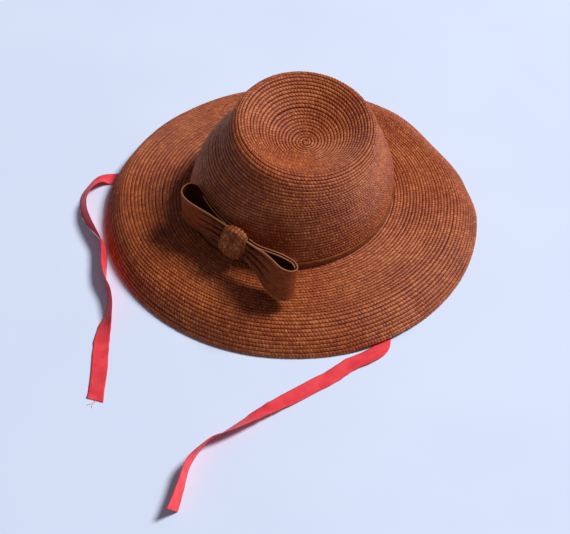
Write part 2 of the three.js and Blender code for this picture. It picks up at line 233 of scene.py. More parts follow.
# Threads out of the left tie's cut end: middle line
THREAD_RADIUS = 0.16
THREADS = (
    ((11.5, -267.5, 0.5), (14, -271.5, 0.4), (14.2, -275, 0.3), (12.2, -278, 0.3)),
    ((13.2, -268.5, 0.5), (15.5, -272, 0.4), (15.8, -275.5, 0.3), (17.5, -277.6, 0.3)),
)

# Curves and surfaces

def smoothstep(value, low, high):
    """0 below low, 1 above high, and an eased S between them."""
    share = np.clip((value - low) / (high - low), 0, 1)
    return share * share * (3 - 2 * share)


def smooth_table(rows, spacing):
    """Smooth curve through a table's rows, as a function of a fraction from 0 to 1.

    Rows lie apart by the distance between them, with each column's difference weighed by
    spacing. Between two rows each column is a cubic whose slope at a row is the mean of
    the chords' slopes on both sides.
    """
    table = np.array(rows, float)
    steps = np.linalg.norm(np.diff(table, axis=0) * spacing, axis=1)
    places = np.concatenate([[0], np.cumsum(steps)]) / steps.sum()
    chords = np.diff(table, axis=0) / np.diff(places)[:, None]
    slopes = np.vstack([chords[:1], (chords[1:] + chords[:-1]) / 2, chords[-1:]])

    def curve(fraction):
        at = np.clip(np.asarray(fraction, float), 0, 1)
        i = np.clip(np.searchsorted(places, at, side="right") - 1, 0, len(places) - 2)
        span = places[i + 1] - places[i]
        t = ((at - places[i]) / span)[..., None]
        span = span[..., None]
        return (
            table[i] * (2 * t**3 - 3 * t**2 + 1)
            + slopes[i] * span * (t**3 - 2 * t**2 + t)
            + table[i + 1] * (3 * t**2 - 2 * t**3)
            + slopes[i + 1] * span * (t**3 - t**2)
        )

    return curve


def by_direction(rows, angle):
    """A table's columns in any direction, eased between the rows on either side."""
    table = np.array([*rows, (rows[0][0] + 360, *rows[0][1:])], float)
    degrees = (np.degrees(angle) - table[0, 0]) % 360 + table[0, 0]
    i = np.clip(np.searchsorted(table[:, 0], degrees, side="right") - 1, 0, len(rows) - 1)
    share = smoothstep(degrees, table[i, 0], table[i + 1, 0])[..., None]
    return table[i, 1:] * (1 - share) + table[i + 1, 1:] * share


def foot_radius(angle):
    """Distance from the middle of the foot's oval to its rim."""
    return 1 / np.hypot(np.cos(angle) / HALF_WIDTH, np.sin(angle) / HALF_DEPTH)


crown_section = smooth_table(CROWN_SECTIONS, (HALF_DEPTH, 1, 0, 0, 0))
brim_section = smooth_table(BRIM_SECTIONS, (CREASE_REACH, EDGE_REACH, 0, EDGE_DROP))


def crown_surface(angle, down):
    """Crown's outer face: the foot's oval made smaller, moved and tilted level by level."""
    share, height, right, back, rise = np.moveaxis(crown_section(down), -1, 0)
    radius = foot_radius(angle) * np.maximum(share, 0)
    return np.stack([
        right + radius * np.cos(angle),
        back + radius * np.sin(angle),
        SEAT + height + rise * np.cos(angle - np.radians(RISE_DIRECTION)),
    ], -1)


def edge_height(angle):
    """Height of the brim's lower edge: level, with a hump over each ribbon."""
    height = 0
    for degrees, lift, spread in EDGE_LIFTS:
        apart = (np.degrees(angle) - degrees + 180) % 360 - 180
        height = height + lift * (1 - smoothstep(np.abs(apart) / spread, *LIFT_FADE))
    return height


def brim_surface(angle, out):
    """Brim's upper face: out to the crease, over it, and down to the edge.

    Past out = 1 the edge goes straight down by one wall for each unit of EDGE_SHARE.
    """
    inner, outer, fall, turn = np.moveaxis(brim_section(out), -1, 0)
    crease_radius, crease_fall = np.moveaxis(by_direction(CREASE, angle), -1, 0)
    edge = BRIM_RADIUS + by_direction(EDGE, angle)[..., 0]
    start = foot_radius(angle) - STRAW_WALL
    radius = start + (crease_radius - start) * inner + (edge - crease_radius) * outer
    crease = SEAT - GAP - crease_fall * fall
    low = edge_height(angle) + STRAW_WALL
    drop = np.clip((out - 1) / EDGE_SHARE, 0, 1) * STRAW_WALL
    return np.stack([
        radius * np.cos(angle),
        radius * np.sin(angle),
        crease + (low - crease) * turn - drop,
    ], -1)


def unit(vectors):
    """Vectors of length 1."""
    return vectors / np.maximum(np.linalg.norm(vectors, axis=-1, keepdims=True), 1e-12)


def outward(surface, angle, along, most):
    """Unit normal of a surface: the cross product of small steps along and around."""
    step = 1e-3
    near = np.clip(along, 0.01, most)
    sideways = surface(angle + step, near) - surface(angle - step, near)
    high = np.minimum(near + step, most)
    lengthwise = surface(angle, high) - surface(angle, high - 2 * step)
    return unit(np.cross(lengthwise, sideways))


# Meshes

def add_mesh(name, points, faces, corner_uv, finish, nodes):
    """A mesh object from points in millimetres, its faces and each corner's UV."""
    mesh = bpy.data.meshes.new(name)
    mesh.from_pydata((points.reshape(-1, 3) / 1000).tolist(), [], faces.tolist())
    layer = mesh.uv_layers.new(name="weave")
    layer.data.foreach_set("uv", corner_uv.astype(np.float32).ravel())
    mesh.polygons.foreach_set("use_smooth", np.ones(len(mesh.polygons), bool))
    mesh.materials.append(finish)
    piece = bpy.data.objects.new(name, mesh)
    bpy.context.scene.collection.objects.link(piece)
    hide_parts(*nodes)
    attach(piece, BODY)
    return piece


def add_tube(name, rings, uv_along, uv_across, finish, nodes, closed=False):
    """A closed body from rings of points, ring by ring.

    Each ring is closed on itself. The last ring joins the first if closed, and otherwise
    each end ring is drawn together to its own middle. The texture's u is uv_along, one for
    each ring, and its v is uv_across, one for each point and one more for the way back.
    """
    count, around = rings.shape[:2]
    if not closed:
        ends = rings[[0, -1]].mean(axis=1, keepdims=True).repeat(around, axis=1)
        rings = np.concatenate([ends[:1], rings, ends[1:]])
        uv_along = np.concatenate([uv_along[:1], uv_along, uv_along[-1:]])
        count += 2
    spans = count if closed else count - 1
    i, k = np.meshgrid(np.arange(spans), np.arange(around), indexing="ij")
    after, beside = (i + 1) % count, (k + 1) % around
    faces = np.stack([
        i * around + k, after * around + k, after * around + beside, i * around + beside,
    ], -1).reshape(-1, 4)
    u = uv_along if len(uv_along) > count else np.append(uv_along, uv_along[-1])
    corners = np.stack([
        np.stack([u[i], u[i + 1], u[i + 1], u[i]], -1),
        np.stack([uv_across[k], uv_across[k], uv_across[k + 1], uv_across[k + 1]], -1),
    ], -1).reshape(-1, 4, 2)
    piece = add_mesh(name, rings, faces, corners, finish, nodes)
    if not closed:
        weld(piece)
    return piece


def weld(piece):
    """Joins points that lie on each other, and drops the faces that this closes up."""
    work = bmesh.new()
    work.from_mesh(piece.data)
    bmesh.ops.remove_doubles(work, verts=work.verts, dist=1e-7)
    work.to_mesh(piece.data)
    work.free()


# Materials

def linear(code):
    """Linear red, green, blue and alpha of an sRGB hex colour."""
    value = np.array([int(code[i:i + 2], 16) for i in (0, 2, 4)]) / 255
    bright = ((value + 0.055) / 1.055) ** 2.4
    return (*np.where(value <= 0.04045, value / 12.92, bright).tolist(), 1.0)


def add_node(tree, kind, inputs=None, **settings):
    """A new node with its settings. An input is a value, or a socket to link from."""
    made = tree.nodes.new("ShaderNode" + kind)
    for name, value in settings.items():
        setattr(made, name, value)
    for key, value in (inputs or {}).items():
        if isinstance(value, bpy.types.NodeSocket):
            tree.links.new(value, made.inputs[key])
        else:
            made.inputs[key].default_value = value
    return made


def new_material(name):
    """An empty node material with its tree and output."""
    made = bpy.data.materials.new(name)
    made.use_nodes = True
    made.node_tree.nodes.clear()
    output = add_node(made.node_tree, "OutputMaterial")
    return made, made.node_tree, output


def colour_ramp(tree, factor, stops):
    """A ramp node through (position, colour) stops."""
    ramp = add_node(tree, "ValToRGB", {"Fac": factor})
    elements = ramp.color_ramp.elements
    while len(elements) > 1:
        elements.remove(elements[-1])
    elements[0].position, elements[0].color = stops[0]
    for position, colour in stops[1:]:
        elements.new(position).color = colour
    return ramp


def sewn_straw():
    """Glossy dyed straw plait: bright rounded stitches with dark gaps between them.

    Made by plaiting split straw and sewing it row to row. To the eye each stitch is its
    own small bright tile, a little lighter or redder than the next, with streaks along
    its straws, and painted shade makes the gaps between stitches and rows nearly black.
    """
    made, tree, output = new_material("sewn dyed straw braid")
    uv = add_node(tree, "UVMap", uv_map="weave").outputs["UV"]
    parts = add_node(tree, "SeparateXYZ", {"Vector": uv})
    u, v = parts.outputs["X"], parts.outputs["Y"]
    stitch = add_node(tree, "Math", {0: u}, operation="FLOOR").outputs[0]
    along = add_node(tree, "Math", {0: u}, operation="FRACT").outputs[0]
    across = add_node(tree, "Math", {0: v, 1: 1.0}, operation="PINGPONG").outputs[0]
    chance = add_node(tree, "TexWhiteNoise", {"W": stitch}, noise_dimensions="1D")
    # Streaks: one straw is about 0.5 mm wide, a sixth of the row
    streak_at = add_node(tree, "CombineXYZ", {"X": u, "Y": v})
    streak_at = add_node(tree, "VectorMath", {0: streak_at.outputs[0], 1: (1.5, 6.0, 1.0)},
                         operation="MULTIPLY").outputs[0]
    streak = add_node(tree, "TexNoise", {"Vector": streak_at, "Scale": 1.0, "Detail": 2.0})
    place = add_node(tree, "TexCoord").outputs["Object"]
    patch = add_node(tree, "TexNoise", {"Vector": place, "Scale": 28.0, "Detail": 3.0})
    tone = add_node(tree, "Math", {0: chance.outputs["Value"], 1: 0.22,
                                   2: streak.outputs["Fac"]}, operation="MULTIPLY_ADD")
    tone = add_node(tree, "Math", {0: patch.outputs["Fac"], 1: 0.5, 2: tone.outputs[0]},
                    operation="MULTIPLY_ADD")
    # One stitch in five is of a lighter straw, and more so the higher its chance
    light = add_node(tree, "MapRange", {"Value": chance.outputs["Value"], "From Min": 0.8,
                                        "From Max": 1.0, "To Max": 0.06})
    tone = add_node(tree, "Math", {0: tone.outputs[0], 1: light.outputs[0]}, operation="ADD")
    tone = add_node(tree, "MapRange", {"Value": tone.outputs[0], "From Min": 0.5,
                                       "From Max": 1.25})
    ramp = colour_ramp(tree, tone.outputs[0], (
        (0.0, linear("6A2209")),
        (0.35, linear("9C451B")),
        (0.7, linear("C06630")),
        (1.0, linear("DC8C52")),
    ))
    # Painted shade in the gaps: the outer sixth of a stitch and of a row, darker towards its end
    end = add_node(tree, "Math", {0: along, 1: 0.5}, operation="SUBTRACT").outputs[0]
    end = add_node(tree, "Math", {0: end}, operation="ABSOLUTE").outputs[0]
    end = add_node(tree, "MapRange", {"Value": end, "From Min": 0.33, "From Max": 0.5},
                   interpolation_type="SMOOTHSTEP").outputs[0]
    side = add_node(tree, "Math", {0: across, 1: 0.5}, operation="SUBTRACT").outputs[0]
    side = add_node(tree, "Math", {0: side}, operation="ABSOLUTE").outputs[0]
    side = add_node(tree, "MapRange", {"Value": side, "From Min": 0.32, "From Max": 0.48},
                    interpolation_type="SMOOTHSTEP").outputs[0]
    gap = add_node(tree, "Math", {0: end, 1: 0.6, 2: side}, operation="MULTIPLY_ADD",
                   use_clamp=True).outputs[0]
    # The straw's dyed colour, mixed towards near black by the painted shade in the gaps
    dyed = add_node(tree, "Mix", {0: gap, 6: ramp.outputs["Color"], 7: linear("2A0D07")},
                    data_type="RGBA")
    rough = add_node(tree, "MapRange", {"Value": streak.outputs["Fac"], "To Min": 0.32,
                                        "To Max": 0.58})
    bump = add_node(tree, "Bump", {"Height": streak.outputs["Fac"], "Strength": 0.5,
                                   "Distance": 0.0003})
    shader = add_node(tree, "BsdfPrincipled", {
        "Base Color": dyed.outputs[2], "Roughness": rough.outputs[0],
        "Normal": bump.outputs[0], "IOR": 1.5, "Specular IOR Level": 0.35,
    })
    tree.links.new(shader.outputs[0], output.inputs["Surface"])
    return made


def woven_strip(name, shades, gloss, width, speckle=0.0, pleats=0.0, inside=0.0):
    """Fine woven straw strip: narrow lengthwise ribs crossed by finer threads.

    Woven on a narrow loom from dyed straw. To the eye it is darker and smoother than the
    plait, with thin light selvedges, faint lengthwise lines and a speckle where threads
    cross. In the pleats beside the knot the valleys between the folds are painted dark
    as shade, and so, where asked, is the loop's inner face.
    """
    made, tree, output = new_material(name)
    uv = add_node(tree, "UVMap", uv_map="weave").outputs["UV"]
    parts = add_node(tree, "SeparateXYZ", {"Vector": uv})
    u, v = parts.outputs["X"], parts.outputs["Y"]
    # u and v are in millimetres here: ribs 1.1 mm apart and threads 0.9 mm apart
    rib = add_node(tree, "Math", {0: v, 1: 2 * np.pi / 1.1}, operation="MULTIPLY").outputs[0]
    rib = add_node(tree, "Math", {0: rib}, operation="SINE").outputs[0]
    thread = add_node(tree, "Math", {0: u, 1: 2 * np.pi / 0.9},
                      operation="MULTIPLY").outputs[0]
    thread = add_node(tree, "Math", {0: thread}, operation="SINE").outputs[0]
    weave = add_node(tree, "Math", {0: rib, 1: thread}, operation="MULTIPLY").outputs[0]
    height = add_node(tree, "Math", {0: weave, 1: 0.5, 2: rib},
                      operation="MULTIPLY_ADD").outputs[0]
    streak_at = add_node(tree, "VectorMath", {0: uv, 1: (0.12, 0.9, 1.0)},
                         operation="MULTIPLY").outputs[0]
    streak = add_node(tree, "TexNoise", {"Vector": streak_at, "Scale": 1.0, "Detail": 3.0})
    tone = add_node(tree, "Math", {0: height, 1: 0.12, 2: streak.outputs["Fac"]},
                    operation="MULTIPLY_ADD").outputs[0]
    # Speckle: bright crossings about 2 mm apart
    grain_at = add_node(tree, "VectorMath", {0: uv, "Scale": 0.5}, operation="SCALE")
    grain = add_node(tree, "TexVoronoi", {"Vector": grain_at.outputs[0], "Scale": 1.0})
    grain = add_node(tree, "MapRange", {"Value": grain.outputs["Distance"], "From Min": 0.1,
                                        "From Max": 0.45, "To Min": speckle, "To Max": 0.0})
    tone = add_node(tree, "Math", {0: tone, 1: grain.outputs[0]}, operation="ADD").outputs[0]
    ramp = colour_ramp(tree, tone, (
        (0.25, linear(shades[0])),
        (0.5, linear(shades[1])),
        (0.8, linear(shades[2])),
    ))
    # Painted shade in the pleats' valleys beside the knot, fading out along the strip
    pleat_shade = add_node(tree, "Math", {0: v, 1: 2 * np.pi * PLEATS / width},
                    operation="MULTIPLY").outputs[0]
    pleat_shade = add_node(tree, "Math", {0: pleat_shade}, operation="COSINE").outputs[0]
    pleat_shade = add_node(tree, "MapRange", {"Value": pleat_shade, "From Min": -0.1, "From Max": -0.9,
                                       "To Max": pleats}).outputs[0]
    fade = add_node(tree, "MapRange", {"Value": u, "From Min": 16.0, "From Max": 44.0,
                                       "To Min": 1.0, "To Max": 0.0},
                    interpolation_type="SMOOTHSTEP").outputs[0]
    pleat_shade = add_node(tree, "Math", {0: pleat_shade, 1: fade}, operation="MULTIPLY").outputs[0]
    shaded_strip = add_node(tree, "Mix", {0: pleat_shade, 6: ramp.outputs["Color"], 7: linear("260B03")},
                      data_type="RGBA")
    # The first width of v is the loop's inner face, which hardly any light reaches
    within = add_node(tree, "MapRange", {"Value": v, "From Min": width - 0.5,
                                         "From Max": width + 0.5, "To Min": inside,
                                         "To Max": 0.0}).outputs[0]
    shaded_strip = add_node(tree, "Mix", {0: within, 6: shaded_strip.outputs[2], 7: linear("260B03")},
                      data_type="RGBA")
    edge = add_node(tree, "Math", {0: v, 1: width / 2}, operation="PINGPONG").outputs[0]
    edge = add_node(tree, "MapRange", {"Value": edge, "From Min": 0.4, "From Max": 0.8,
                                       "To Min": 1.0, "To Max": 0.0}).outputs[0]
    colour = add_node(tree, "Mix", {0: edge, 6: shaded_strip.outputs[2], 7: linear(shades[3])},
                      data_type="RGBA")
    bump = add_node(tree, "Bump", {"Height": height, "Strength": 0.6, "Distance": 0.0002})
    shader = add_node(tree, "BsdfPrincipled", {
        "Base Color": colour.outputs[2], "Roughness": gloss,
        "Normal": bump.outputs[0], "IOR": 1.5, "Specular IOR Level": 0.12,
    })
    tree.links.new(shader.outputs[0], output.inputs["Surface"])
    return made


def satin():
    """Coral satin ribbon: smooth warp floats that shine along the ribbon.

    Woven from filament yarn and heat pressed. To the eye it is a clear coral red with
    long soft highlights, faint creases across, and folds darkened by painted shade.
    """
    made, tree, output = new_material("coral satin ribbon")
    uv = add_node(tree, "UVMap", uv_map="weave").outputs["UV"]
    # u and v are in millimetres: creases over a centimetre apart, threads 0.3 mm apart
    crease_at = add_node(tree, "VectorMath", {0: uv, 1: (0.07, 0.08, 1.0)},
                         operation="MULTIPLY").outputs[0]
    crease = add_node(tree, "TexNoise", {"Vector": crease_at, "Scale": 1.0, "Detail": 3.0})
    thread_at = add_node(tree, "VectorMath", {0: uv, 1: (0.6, 3.0, 1.0)},
                         operation="MULTIPLY").outputs[0]
    thread = add_node(tree, "TexNoise", {"Vector": thread_at, "Scale": 1.0, "Detail": 1.0})
    # Painted shade in the folds: the crease noise is the bump and also darkens the colour where
    # it is low, over the threads' own tone
    tone = add_node(tree, "Math", {0: thread.outputs["Fac"], 1: 0.35,
                                   2: crease.outputs["Fac"]}, operation="MULTIPLY_ADD")
    ramp = colour_ramp(tree, tone.outputs[0], (
        (0.4, linear("DA3340")),
        (0.7, linear("F5484F")),
        (1.0, linear("FF5C5E")),
    ))
    v = add_node(tree, "SeparateXYZ", {"Vector": uv}).outputs["Y"]
    edge = add_node(tree, "Math", {0: v}, operation="ABSOLUTE").outputs[0]
    edge = add_node(tree, "MapRange", {"Value": edge, "From Min": RIBBON_WIDTH / 2 - 0.9,
                                       "From Max": RIBBON_WIDTH / 2, "To Max": 0.6})
    colour = add_node(tree, "Mix", {0: edge.outputs[0], 6: ramp.outputs["Color"],
                                    7: linear("A82233")}, data_type="RGBA")
    bump = add_node(tree, "Bump", {"Height": tone.outputs[0], "Strength": 0.35,
                                   "Distance": 0.0004})
    shader = add_node(tree, "BsdfPrincipled", {
        "Base Color": colour.outputs[2], "Roughness": 0.48, "Normal": bump.outputs[0],
        "IOR": 1.5, "Specular IOR Level": 0.25,
    })
    tree.links.new(shader.outputs[0], output.inputs["Surface"])
    return made


def floor_paper():
    """Matt pale paper: a clean blue-white with the faintest mottle."""
    made, tree, output = new_material("pale matt paper")
    place = add_node(tree, "TexCoord").outputs["Object"]
    mottle = add_node(tree, "TexNoise", {"Vector": place, "Scale": 6.0, "Detail": 2.0})
    ramp = colour_ramp(tree, mottle.outputs["Fac"], (
        (0.3, linear("DBE9FA")),
        (0.7, linear("E0EDFE")),
    ))
    shader = add_node(tree, "BsdfPrincipled", {
        "Base Color": ramp.outputs["Color"], "Roughness": 0.9,
    })
    tree.links.new(shader.outputs[0], output.inputs["Surface"])
    return made


# Pieces

# One plait across: place beside its middle in rows, and height over the sewn surface.
# The first four are its face and the last two its back.
PLAIT = (
    (-0.57, -0.6),
    (-0.27, 0.18),
    (0.27, 0.18),
    (0.57, -0.6),
    (0.38, -1.75),
    (-0.38, -1.75),
)
# How much of a stitch's relief each of those points takes, and its place in the texture
PLAIT_RELIEF = (0.4, 1.0, 1.0, 0.4, 0.2, 0.2)
PLAIT_UV = (0.0, 0.27, 0.73, 1.0, 1.3, 1.7, 2.0)
# Places and directions at which a surface's length is measured, and places in a turn
MEASURED_PLACES = 600
MEASURED_DIRECTIONS = 12
TURN_PLACES = 240
# How near a row's middle comes to the surface's start and end, in rows
START_ROOM = 0.3
END_ROOM = 0.5
# How much the stitches' slant varies, and the least and most share of the relief
SLANT_SPREAD = 0.12
SWELL = (0.7, 1.2)
# How deep the plait's last stitches are tucked under, in millimetres, and how many
TUCK_DEPTH = 0.5
TUCK_STITCHES = 6
# Stitches between two changes of a row's own drift, and the drift in rows and in mm
DRIFT_SPACING = 14
DRIFT_ASIDE = 0.035
DRIFT_UP = 0.05


def row_scale(surface, most, pitch):
    """Number of rows on a surface, and each row's place as a share of its length.

    The mean length over a few directions is measured from the start to each place, and
    divided into rows of equal pitch.
    """
    along = np.linspace(0, most, MEASURED_PLACES)
    angle = np.linspace(0, 2 * np.pi, MEASURED_DIRECTIONS, endpoint=False)[:, None]
    points = surface(angle + 0 * along, along + 0 * angle)
    steps = np.linalg.norm(np.diff(points, axis=1), axis=-1).mean(axis=0)
    length = np.concatenate([[0], np.cumsum(steps)])
    rows = round(length[-1] / pitch)
    return rows, lambda row: np.interp(row / rows, length / length[-1], along)


def sew(name, surface, most, scale, first, last, settings, finish, node, seed):
    """One plait sewn round and round a surface, from row first to row last.

    Its middle goes out by one row for each turn, and stays on the last row for the last
    turn. The points of PLAIT are carried along it at a few places for each stitch, and
    stand out by a rounded bump for each stitch that leans over by the slant. The row
    drifts a little aside and up, by a random line that changes slowly along it.
    """
    rows, place = scale
    turn = np.linspace(first, last, int((last - first) * TURN_PLACES))
    middle = np.clip(turn, START_ROOM, rows - END_ROOM)
    line = surface(2 * np.pi * turn, place(middle))
    length = np.concatenate([[0], np.cumsum(np.linalg.norm(np.diff(line, axis=0), axis=1))])
    pitch = settings.stitch_length * 1000
    stitches = round(length[-1] / pitch)
    samples = settings.stitch_samples
    stitch = np.arange(stitches * samples + 1) / samples
    turn = np.interp(stitch / stitches * length[-1], length, turn)
    random = np.random.default_rng(seed)
    knots = np.arange(0, stitches + 2 * DRIFT_SPACING, DRIFT_SPACING)
    aside = np.interp(stitch, knots, random.normal(0, DRIFT_ASIDE, len(knots)))
    up = np.interp(stitch, knots, random.normal(0, DRIFT_UP, len(knots)))
    middle = np.clip(turn + aside, START_ROOM, rows - END_ROOM)[:, None]
    per_stitch = (np.gradient(turn) * samples)[:, None]
    across, height = np.array(PLAIT).T
    own = stitch.astype(int)
    lean = random.normal(settings.slant, SLANT_SPREAD, stitches + 1)[own][:, None]
    angle = 2 * np.pi * (turn[:, None] + per_stitch * lean * across)
    along = place(np.clip(middle + across, 0, rows))
    swell = random.uniform(*SWELL, stitches + 1)[own]
    bump = (np.sin(np.pi * (stitch % 1)) ** 0.5 * swell - 0.5) * settings.relief * 1000
    tuck = TUCK_DEPTH * smoothstep(stitch, stitches - TUCK_STITCHES, stitches) * (last > rows)
    lift = height + bump[:, None] * np.array(PLAIT_RELIEF) + (up - tuck)[:, None]
    points = surface(angle, along)
    points = points + outward(surface, angle, along, most) * lift[..., None]
    return add_tube(name, points, stitch, np.array(PLAIT_UV), finish, [node])


# Bow strip: places along a whole loop and across the strip, and the step to each side
# over which a direction is taken
LOOP_PLACES = 180
STRIP_PLACES = 61
LINE_STEP = 0.004
# Shares of the loop over which the gathers end, and the pleats begin and end to fade
GATHER_FADE = 0.3
PLEAT_FADE = (0.04, 0.36)
# Half thickness as a share of the wall's half, what the edge's bead adds, and its place
# from the edge
STRIP_SHARE = 0.45
BEAD_SHARE = 0.15
BEAD_PLACE = (0.5, 1.4)
RIBS = 12
RIB_HEIGHT = 0.12
# How much lower the upper edge lies for each millimetre of gathering or inset
TOP_DROP = 0.3
# What a loop's u gains for each whole loop that an inner layer leaves out at that end
LAYER_LENGTH = 100


def strip_loop(name, rows, finish, node, start=0.0, end=1.0, inset=0.0):
    """One loop of the bow: the strip stands on its edge along its plan line.

    Across, the strip is a flat oblong with a small bead on both edges. Near the knot its
    lower edge is gathered up, with pleats, which are waves across its width that fade out
    along it. A start, end and inset make an inner layer, which lies that far inside the
    loop. The texture's u is the distance from the nearer end, in millimetres.
    """
    line = smooth_table(rows, (1, 1, 0))
    along = np.linspace(start, end, int(LOOP_PLACES * (end - start)) + 1)
    here = line(along)
    ahead = unit((line(along + LINE_STEP) - line(along - LINE_STEP))[:, :2])
    across = np.stack([-ahead[:, 1], ahead[:, 0]], -1)
    near = np.minimum(along, 1 - along)
    width = STRIP_WIDTH * (GATHERED + (1 - GATHERED) * smoothstep(near, 0, GATHER_FADE))
    top = BOW_TOP - TOP_DROP * (STRIP_WIDTH - width) - TOP_DROP * inset
    level = np.linspace(0, 1, STRIP_PLACES)
    edge = np.minimum(level, 1 - level) * STRIP_WIDTH
    bead = BEAD_SHARE * (1 - smoothstep(edge, *BEAD_PLACE))
    half = STRIP_WALL / 2 * (STRIP_SHARE + bead)
    pleat = PLEAT_DEPTH * np.cos(2 * np.pi * PLEATS * level)[None, :]
    fade = 1 - smoothstep(near, *PLEAT_FADE)
    pleat = pleat * fade[:, None] * np.sin(np.pi * level) ** 0.5
    rib = RIB_HEIGHT * np.cos(2 * np.pi * RIBS * level)[None, :]
    faces = []
    for side in (-1, 1):
        off = pleat - inset + side * (half + rib)
        face = np.stack([
            here[:, :1] + across[:, :1] * off,
            here[:, 1:2] + across[:, 1:2] * off - here[:, 2:] * level,
            top[:, None] - width[:, None] * level,
        ], -1)
        faces.append(face if side < 0 else face[:, ::-1])
    rings = np.concatenate(faces, axis=1)
    steps = np.linalg.norm(np.diff(here[:, :2], axis=0), axis=1)
    length = np.concatenate([[0], np.cumsum(steps)])
    from_end = np.minimum(length + LAYER_LENGTH * start,
                          length[-1] - length + LAYER_LENGTH * (1 - end))
    v = np.concatenate([level, 2 - level[::-1], [2]]) * STRIP_WIDTH
    return add_tube(name, rings, from_end, v, finish, [node])


# Ties: places along and across, room under the satin, and half its thickness
RIBBON_PLACES = 401
RIBBON_ACROSS = 15
RIBBON_ROOM = 0.3
SATIN_HALF = 0.2
# How high the edges curl, and how much the half width varies as a share
CURL = 0.22
WIDTH_WAVE = 0.02


def route(rows):
    """Middle points of a ribbon and its turn, from its table."""
    line = smooth_table(rows, (1, 1, 1, 0))

    def middle(along):
        x, y, lift, turn = np.moveaxis(line(along), -1, 0)
        raised = np.abs(np.sin(np.radians(turn))) * RIBBON_WIDTH / 2
        return np.stack([x, y, np.maximum(lift, 0.1) + raised + RIBBON_ROOM], -1)

    return middle, lambda along: line(along)[..., 3]


def ribbon(name, rows, finish, node, cut):
    """A ribbon: a thin flat section carried along its line and turned as the table says.

    Across, both edges curl up a little by a wave that runs along the ribbon, and less the
    more the ribbon stands on its edge. The far end is
    cut aslant: its last rings slope forward from one edge to the other by the cut.
    """
    middle, turned = route(rows)
    along = np.linspace(0, 1, RIBBON_PLACES)
    here = middle(along)
    ahead = unit(middle(along + LINE_STEP) - middle(along - LINE_STEP))
    turn = np.radians(turned(along))[:, None]
    level = unit(np.stack([-ahead[:, 1], ahead[:, 0], 0 * ahead[:, 0]], -1))
    width = level * np.cos(turn) + np.array([0, 0, 1]) * np.sin(turn)
    face = unit(np.cross(ahead, width))
    face = face * np.where(face[:, 2:] < 0, -1, 1)
    length = np.concatenate([[0], np.cumsum(np.linalg.norm(np.diff(here, axis=0), axis=1))])
    side = np.linspace(1, -1, RIBBON_ACROSS)
    wave = length[:, None] / 4.3 + 2.4 * np.sin(length[:, None] / 13)
    curl = (CURL + CURL * np.sin(wave + 1.3 * side)) * np.cos(turn) ** 2
    half = RIBBON_WIDTH / 2 * (1 + WIDTH_WAVE * np.sin(1.7 * wave + 0.8 * side))
    end = smoothstep(along, 1 - RIBBON_WIDTH / length[-1], 1)[:, None] * cut * side / 2
    faces = []
    for up in (1, -1):
        order = slice(None, None, up)
        lift = (curl * side**2 + SATIN_HALF * up)[:, order]
        reach = (side * half)[:, order]
        faces.append(here[:, None] + width[:, None] * reach[..., None]
                     + face[:, None] * lift[..., None] + ahead[:, None] * end[:, order, None])
    rings = np.concatenate(faces, axis=1)
    v = np.concatenate([side, side[::-1], side[:1]]) * RIBBON_WIDTH / 2
    piece = add_tube(name, rings, length, v, finish, [node])
    return piece


def loose_threads(name, finish, node):
    """Two threads that have come out of the left tie's cut end: thin bent tubes."""
    angle = np.linspace(0, 2 * np.pi, 7)[:-1]
    for count, points in enumerate(THREADS):
        line = smooth_table(points, (1, 1, 1))(np.linspace(0, 1, 25))
        ring = np.stack([np.cos(angle), np.sin(angle), 0 * angle], -1) * THREAD_RADIUS
        ahead = unit(np.gradient(line, axis=0))
        level = unit(np.stack([-ahead[:, 1], ahead[:, 0], 0 * ahead[:, 0]], -1))
        over = np.cross(ahead, level)
        rings = (line[:, None] + level[:, None] * ring[:, :1] + over[:, None] * ring[:, 1:2])
        add_tube(f"{name}_{count + 1}", rings, np.arange(25.0), np.linspace(-1, 1, 7), finish,
                 [node])


# Settings

class BraidSettings(bpy.types.PropertyGroup):
    row_pitch: FloatProperty(
        name="Row pitch", description="Distance between rows of straw braid",
        default=0.00295, unit="LENGTH")
    stitch_length: FloatProperty(
        name="Stitch length", description="Length of one stitch of the plait",
        default=0.0029, unit="LENGTH")
    stitch_samples: IntProperty(
        name="Stitch samples", description="Places along one stitch in the mesh", default=4)
    relief: FloatProperty(
        name="Relief", description="Height of a stitch over the gap beside it",
        default=0.0004, unit="LENGTH")
    slant: FloatProperty(
        name="Slant", description="How far a stitch leans, in stitches for each row",
        default=0.5)


class StageSettings(bpy.types.PropertyGroup):
    lens: FloatProperty(
        name="Lens", description="Focal length of the camera", default=94.74, unit="CAMERA")
    key_power: FloatProperty(
        name="Key light", description="Power of the large soft light", default=1110.0,
        unit="POWER")
    fill: FloatProperty(
        name="Fill", description="Strength of the even light from all round", default=0.18)
    fill_colour: FloatVectorProperty(
        name="Fill colour", description="Colour of the even light", size=4, subtype="COLOR",
        default=linear("E4E1F6"))


# Operators

# Stage: the camera's place and turn, half the floor's side, and the soft light, in metres
# and degrees
CAMERA_PLACE = (0.6197, -0.7458, 1.0032)
CAMERA_TURN = (42, 0, 40)
FLOOR_REACH = 3.0
KEY_SIZE = 3.2
KEY_PLACE = (3.34, 5.64, 7.54)
KEY_AIM = (0, 0, 0.03)


